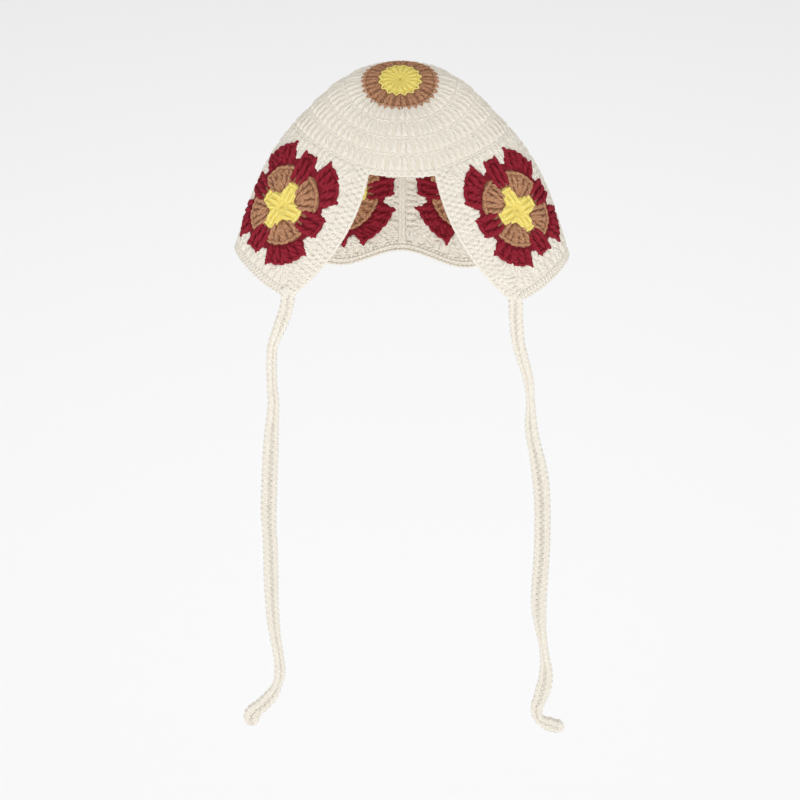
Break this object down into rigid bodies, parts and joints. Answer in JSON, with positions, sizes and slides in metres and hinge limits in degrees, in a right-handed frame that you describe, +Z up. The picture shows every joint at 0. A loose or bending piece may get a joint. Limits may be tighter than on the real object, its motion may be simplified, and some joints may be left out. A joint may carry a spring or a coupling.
{
  "type": "crochet bonnet",
  "caption": "Crocheted bonnet with a domed crown worked in rounds, granny-square ear flaps and nape, a shell edging and long flat ties.",
  "frame": {"origin": "inside of the crown's centre, where a head carries the bonnet", "axes": "+Z up through the crown, +X towards the wearer's left ear, the face opening towards -Y"},
  "size_m": [0.2718, 0.1407, 0.593],
  "materials": {
    "cream_yarn": "matte soft wool, slightly fuzzy",
    "yellow_yarn": "matte soft wool, slightly fuzzy",
    "brown_yarn": "matte soft wool, slightly fuzzy",
    "burgundy_yarn": "matte soft wool, slightly fuzzy"
  },
  "bodies": {
    "root": {"crown_centre": "yellow_yarn", "crown_ring": "brown_yarn", "crown_rounds": "cream_yarn", "left_temple_square_centre": "yellow_yarn", "left_temple_square_middle": "brown_yarn", "left_temple_square_outer": "burgundy_yarn", "left_temple_square_border": "cream_yarn", "left_nape_square_centre": "yellow_yarn", "left_nape_square_middle": "brown_yarn", "left_nape_square_outer": "burgundy_yarn", "left_nape_square_border": "cream_yarn", "right_temple_square_centre": "yellow_yarn", "right_temple_square_middle": "brown_yarn", "right_temple_square_outer": "burgundy_yarn", "right_temple_square_border": "cream_yarn", "right_nape_square_centre": "yellow_yarn", "right_nape_square_middle": "brown_yarn", "right_nape_square_outer": "burgundy_yarn", "right_nape_square_border": "cream_yarn", "left_seam": "cream_yarn", "right_seam": "cream_yarn", "nape_seam": "cream_yarn", "left_front_edging": "cream_yarn", "right_front_edging": "cream_yarn", "forehead_edging": "cream_yarn", "bottom_edging": "cream_yarn", "left_tie": "cream_yarn", "left_tie_end": "cream_yarn", "right_tie": "cream_yarn", "right_tie_end": "cream_yarn"}
  },
  "joints": []
}
